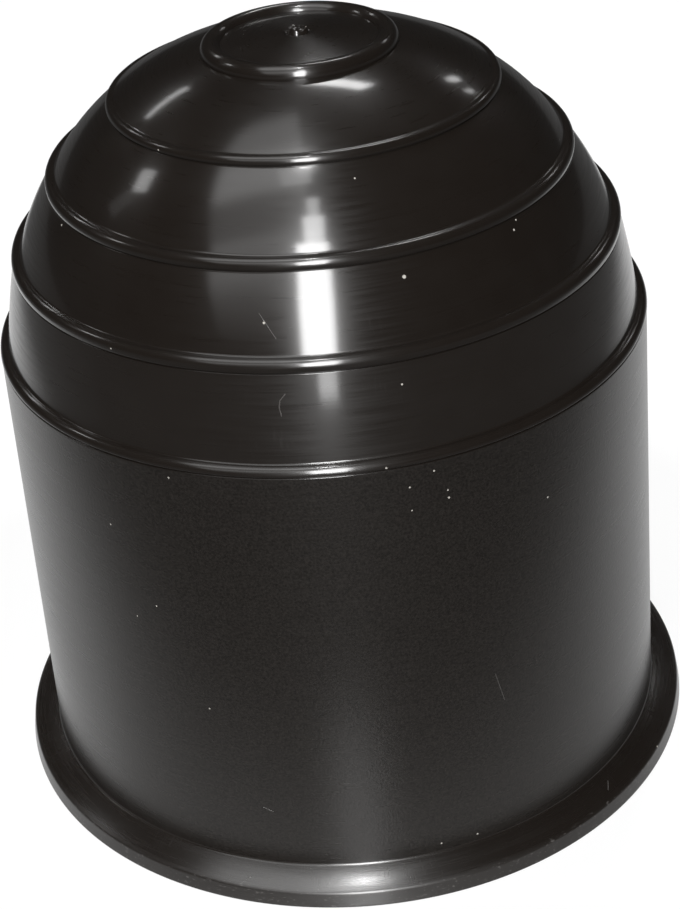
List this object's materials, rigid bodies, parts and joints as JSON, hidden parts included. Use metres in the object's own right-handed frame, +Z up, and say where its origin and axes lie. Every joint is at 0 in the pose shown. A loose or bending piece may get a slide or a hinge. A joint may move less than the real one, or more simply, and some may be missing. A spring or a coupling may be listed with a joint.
{
  "type": "tow ball cover",
  "caption": "Push-on plastic cover for a tow ball: a stepped dome over a plain skirt with a turned-out rim, open underneath.",
  "frame": {"origin": "on the axis, at the flat face of the rim that the cover stands on", "axes": "+Z up along the axis of revolution, from the open mouth to the crown"},
  "size_m": [0.0624, 0.0624, 0.0665],
  "materials": {
    "cover_plastic": "black moulded plastic, glossy on the dome and rim, satin on the skirt"
  },
  "bodies": {
    "root": {"cover": "cover_plastic"}
  },
  "joints": []
}
